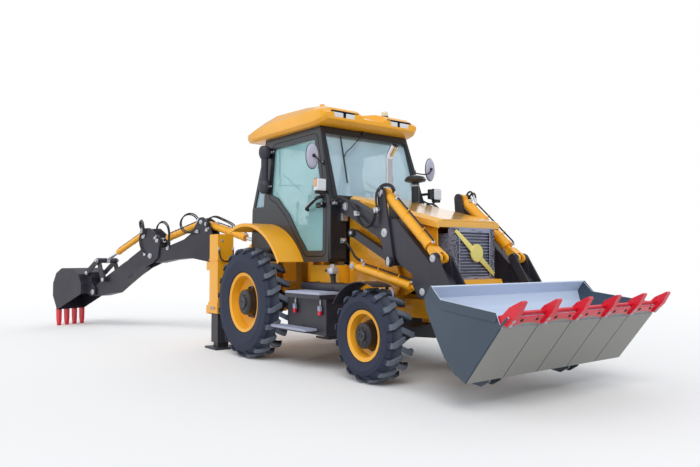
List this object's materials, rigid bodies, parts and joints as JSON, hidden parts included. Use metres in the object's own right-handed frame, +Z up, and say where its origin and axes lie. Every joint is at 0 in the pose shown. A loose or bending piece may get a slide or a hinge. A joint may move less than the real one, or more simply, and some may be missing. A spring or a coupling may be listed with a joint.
{
  "type": "backhoe loader",
  "caption": "Wheeled tractor with a glazed cab, a toothed loading bucket on linked arms in front, a digging arm with a toothed bucket behind, and stabiliser legs beside it.",
  "frame": {"origin": "on the ground under the middle of the rear axle", "axes": "+X forward, towards the loading bucket; +Y to the machine's left; +Z up"},
  "size_m": [10.3766, 3.2722, 3.2415],
  "materials": {
    "yellow_paint": "satin paint",
    "dark_paint": "satin paint",
    "slate_paint": "worn satin paint",
    "red_paint": "satin paint",
    "black_paint": "satin paint",
    "chrome": "polished",
    "glass": "clear tinted",
    "tyre": "matte rubber",
    "lamp_plastic": "gloss",
    "seat_plastic": "matte"
  },
  "bodies": {
    "chassis": {"chassis_frame": "yellow_paint", "axles": "black_paint", "engine_block": "black_paint", "bonnet": "yellow_paint", "side_panels": "yellow_paint", "grille": "black_paint", "air_cleaner": "black_paint", "exhaust": "chrome", "cab_frame": "black_paint", "cab_glass": "glass", "cab_roof": "yellow_paint", "lamps": "lamp_plastic", "mirrors": "black_paint", "driver_place": "seat_plastic", "rear_fenders": "yellow_paint", "steps": "dark_paint", "rear_frame": "yellow_paint"},
    "door_left": {"door_left": "black_paint", "door_glass_left": "glass"},
    "door_right": {"door_right": "black_paint", "door_glass_right": "glass"},
    "knuckle_left": {"knuckle_left": "dark_paint"},
    "knuckle_right": {"knuckle_right": "dark_paint"},
    "wheel_front_left": {"rim_front_left": "yellow_paint", "tyre_front_left": "tyre"},
    "wheel_front_right": {"rim_front_right": "yellow_paint", "tyre_front_right": "tyre"},
    "wheel_rear_left": {"rim_rear_left": "yellow_paint", "tyre_rear_left": "tyre"},
    "wheel_rear_right": {"rim_rear_right": "yellow_paint", "tyre_rear_right": "tyre"},
    "loader_bucket": {"loader_bucket": "slate_paint", "loader_teeth": "red_paint"},
    "dig_bucket": {"dig_bucket": "dark_paint", "dig_teeth": "red_paint"},
    "loader_arms": {"loader_arms": "dark_paint"},
    "level_links": {"level_links": "dark_paint"},
    "tilt_levers": {"tilt_levers": "dark_paint"},
    "tilt_barrels": {"tilt_barrels": "yellow_paint"},
    "tilt_rods": {"tilt_rods": "yellow_paint"},
    "front_lever_pins": {"front_lever_pins": "dark_paint"},
    "front_levers": {"front_levers": "dark_paint"},
    "link_pins": {"link_pins": "dark_paint"},
    "bucket_links": {"bucket_links": "dark_paint"},
    "bucket_pins": {"bucket_pins": "dark_paint"},
    "lift_barrels": {"lift_barrels": "yellow_paint"},
    "lift_rods": {"lift_rods": "yellow_paint"},
    "kingpost": {"kingpost": "yellow_paint"},
    "boom": {"boom": "dark_paint"},
    "boom_barrel": {"boom_barrel": "yellow_paint"},
    "boom_rod": {"boom_rod": "chrome"},
    "dipper": {"dipper": "dark_paint"},
    "dipper_barrel": {"dipper_barrel": "yellow_paint"},
    "dipper_rod": {"dipper_rod": "chrome"},
    "dig_levers": {"dig_levers": "dark_paint"},
    "dig_link": {"dig_link": "dark_paint"},
    "dig_barrel": {"dig_barrel": "yellow_paint"},
    "dig_rod": {"dig_rod": "chrome"},
    "stabiliser_left": {"stabiliser_left": "dark_paint"},
    "stabiliser_right": {"stabiliser_right": "dark_paint"}
  },
  "joints": [
    {"name": "lift", "type": "hinge", "parent": "chassis", "child": "loader_arms", "pos_m": [1.55, 0, 1.865], "axis": [0, -1, 0], "range_deg": [-3, 72]},
    {"name": "level_links", "type": "hinge", "parent": "chassis", "child": "level_links", "pos_m": [1.635, 0, 1.56], "axis": [0, -1, 0], "range_deg": [-3.5, 72.5]},
    {"name": "tilt_levers", "type": "hinge", "parent": "loader_arms", "child": "tilt_levers", "pos_m": [2.26, 0, 1.54], "axis": [0, -1, 0], "range_deg": [-72.5, 3.5]},
    {"name": "tilt_barrels", "type": "hinge", "parent": "tilt_levers", "child": "tilt_barrels", "pos_m": [2.2, 0, 1.975], "axis": [0, -1, 0], "range_deg": [-3.5, 72.5]},
    {"name": "tilt_rods", "type": "slide", "parent": "tilt_barrels", "child": "tilt_rods", "axis": [0.7502, 0, -0.6612], "range_m": [-0.01, 0.58]},
    {"name": "front_lever_pins", "type": "hinge", "parent": "loader_arms", "child": "front_lever_pins", "pos_m": [3.06, 0, 0.835], "axis": [0, -1, 0], "range_deg": [-72.5, 3.5]},
    {"name": "front_levers", "type": "hinge", "parent": "front_lever_pins", "child": "front_levers", "pos_m": [3.06, 0, 0.835], "axis": [0, -1, 0], "range_deg": [-82.5, 0.5]},
    {"name": "link_pins", "type": "hinge", "parent": "front_levers", "child": "link_pins", "pos_m": [3, 0, 1.27], "axis": [0, -1, 0], "range_deg": [-3.5, 72.5]},
    {"name": "bucket_links", "type": "hinge", "parent": "link_pins", "child": "bucket_links", "pos_m": [3, 0, 1.27], "axis": [0, -1, 0], "range_deg": [-0.5, 82.5]},
    {"name": "bucket_pins", "type": "hinge", "parent": "loader_arms", "child": "bucket_pins", "pos_m": [3.45, 0, 0.22], "axis": [0, -1, 0], "range_deg": [-72.5, 3.5]},
    {"name": "tilt", "type": "hinge", "parent": "bucket_pins", "child": "loader_bucket", "pos_m": [3.45, 0, 0.22], "axis": [0, -1, 0], "range_deg": [-82, 0]},
    {"name": "lift_barrels", "type": "hinge", "parent": "chassis", "child": "lift_barrels", "pos_m": [1.64, 0, 1.184], "axis": [0, -1, 0], "range_deg": [-3, 66]},
    {"name": "lift_rods", "type": "slide", "parent": "lift_barrels", "child": "lift_rods", "axis": [0.9786, 0, -0.2058], "range_m": [-0.035, 0.8]},
    {"name": "slew", "type": "hinge", "parent": "chassis", "child": "kingpost", "pos_m": [-1.4, 0, 0.9], "axis": [0, 0, 1], "range_deg": [-97, 53]},
    {"name": "boom", "type": "hinge", "parent": "kingpost", "child": "boom", "pos_m": [-1.67816, -0.11238, 0.85], "axis": [-0.3746, 0.9272, 0], "range_deg": [-25, 27]},
    {"name": "boom_barrel", "type": "hinge", "parent": "boom", "child": "boom_barrel", "pos_m": [-2.46626, -0.4308, 1.835], "axis": [-0.3746, 0.9272, 0], "range_deg": [-2.8, 2.6]},
    {"name": "boom_rod", "type": "slide", "parent": "boom_barrel", "child": "boom_rod", "axis": [0.8871, 0.3584, -0.291], "range_m": [-0.33, 0.31]},
    {"name": "dipper", "type": "hinge", "parent": "boom", "child": "dipper", "pos_m": [-3.64378, -0.90655, 1.312], "axis": [-0.3746, 0.9272, 0], "range_deg": [-100, 12]},
    {"name": "dipper_barrel", "type": "hinge", "parent": "boom", "child": "dipper_barrel", "pos_m": [-2.57196, -0.4735, 1.873], "axis": [-0.3746, 0.9272, 0], "range_deg": [-1, 0.2]},
    {"name": "dipper_rod", "type": "slide", "parent": "dipper_barrel", "child": "dipper_rod", "axis": [-0.8895, -0.3594, -0.2822], "range_m": [-0.06, 0.485]},
    {"name": "dig", "type": "hinge", "parent": "dipper", "child": "dig_bucket", "pos_m": [-4.99747, -1.45347, 0.65], "axis": [-0.3746, 0.9272, 0], "range_deg": [-80, 20]},
    {"name": "dig_levers", "type": "hinge", "parent": "dipper", "child": "dig_levers", "pos_m": [-4.71932, -1.34109, 0.88], "axis": [-0.3746, 0.9272, 0], "range_deg": [-80.5, 20.5]},
    {"name": "dig_link", "type": "hinge", "parent": "dig_levers", "child": "dig_link", "pos_m": [-4.83058, -1.38604, 1.23], "axis": [-0.3746, 0.9272, 0], "range_deg": [-20.5, 80.5]},
    {"name": "dig_barrel", "type": "hinge", "parent": "dipper", "child": "dig_barrel", "pos_m": [-3.82273, -0.97885, 1.753], "axis": [-0.3746, 0.9272, 0], "range_deg": [-9.5, 2.5]},
    {"name": "dig_rod", "type": "slide", "parent": "dig_barrel", "child": "dig_rod", "axis": [-0.8355, -0.3376, -0.4336], "range_m": [-0.11, 0.425]},
    {"name": "steering_left", "type": "hinge", "parent": "chassis", "child": "knuckle_left", "pos_m": [2.267, 0.612, 0.482], "axis": [0, 0, 1], "range_deg": [-25, 25]},
    {"name": "steering_right", "type": "hinge", "parent": "chassis", "child": "knuckle_right", "pos_m": [2.267, -0.612, 0.482], "axis": [0, 0, 1], "range_deg": [-25.5, 25.5]},
    {"name": "wheel_front_left", "type": "hinge", "parent": "knuckle_left", "child": "wheel_front_left", "pos_m": [2.267, 0.845, 0.482], "axis": [0, 1, 0], "continuous": true},
    {"name": "wheel_rear_left", "type": "hinge", "parent": "chassis", "child": "wheel_rear_left", "pos_m": [0, 0.99, 0.706], "axis": [0, 1, 0], "continuous": true},
    {"name": "stabiliser_left", "type": "slide", "parent": "chassis", "child": "stabiliser_left", "axis": [0, 0, 1], "range_m": [0, 0.35]},
    {"name": "door_left", "type": "hinge", "parent": "chassis", "child": "door_left", "pos_m": [-0.035, 0.805, 1.9], "axis": [0, 0, 1], "range_deg": [0, 85]},
    {"name": "wheel_front_right", "type": "hinge", "parent": "knuckle_right", "child": "wheel_front_right", "pos_m": [2.267, -0.845, 0.482], "axis": [0, 1, 0], "continuous": true},
    {"name": "wheel_rear_right", "type": "hinge", "parent": "chassis", "child": "wheel_rear_right", "pos_m": [0, -0.99, 0.706], "axis": [0, 1, 0], "continuous": true},
    {"name": "stabiliser_right", "type": "slide", "parent": "chassis", "child": "stabiliser_right", "axis": [0, 0, 1], "range_m": [0, 0.35]},
    {"name": "door_right", "type": "hinge", "parent": "chassis", "child": "door_right", "pos_m": [-0.035, -0.805, 1.9], "axis": [0, 0, -1], "range_deg": [0, 85]}
  ],
  "couplings": [
    {"joint": "level_links", "follows": "lift", "ratio": 1},
    {"joint": "tilt_levers", "follows": "lift", "ratio": -1},
    {"joint": "tilt_barrels", "follows": "lift", "ratio": 1},
    {"joint": "front_lever_pins", "follows": "lift", "ratio": -1},
    {"joint": "link_pins", "follows": "lift", "ratio": 1},
    {"joint": "bucket_pins", "follows": "lift", "ratio": -1},
    {"joint": "lift_barrels", "follows": "lift", "ratio": 0.9068},
    {"joint": "lift_rods", "follows": "lift", "m_per_rad": 0.627},
    {"joint": "tilt_rods", "follows": "tilt", "m_per_rad": -0.3997},
    {"joint": "front_levers", "follows": "tilt", "ratio": 1},
    {"joint": "bucket_links", "follows": "tilt", "ratio": -1},
    {"joint": "boom_barrel", "follows": "boom", "ratio": -0.1},
    {"joint": "boom_rod", "follows": "boom", "m_per_rad": -0.68},
    {"joint": "dipper_barrel", "follows": "dipper", "ratio": 0.009},
    {"joint": "dipper_rod", "follows": "dipper", "m_per_rad": -0.274},
    {"joint": "dig_levers", "follows": "dig", "ratio": 1},
    {"joint": "dig_link", "follows": "dig", "ratio": -1},
    {"joint": "dig_barrel", "follows": "dig", "ratio": 0.1156},
    {"joint": "dig_rod", "follows": "dig", "m_per_rad": -0.3002},
    {"joint": "steering_right", "follows": "steering_left", "ratio": 1}
  ]
}
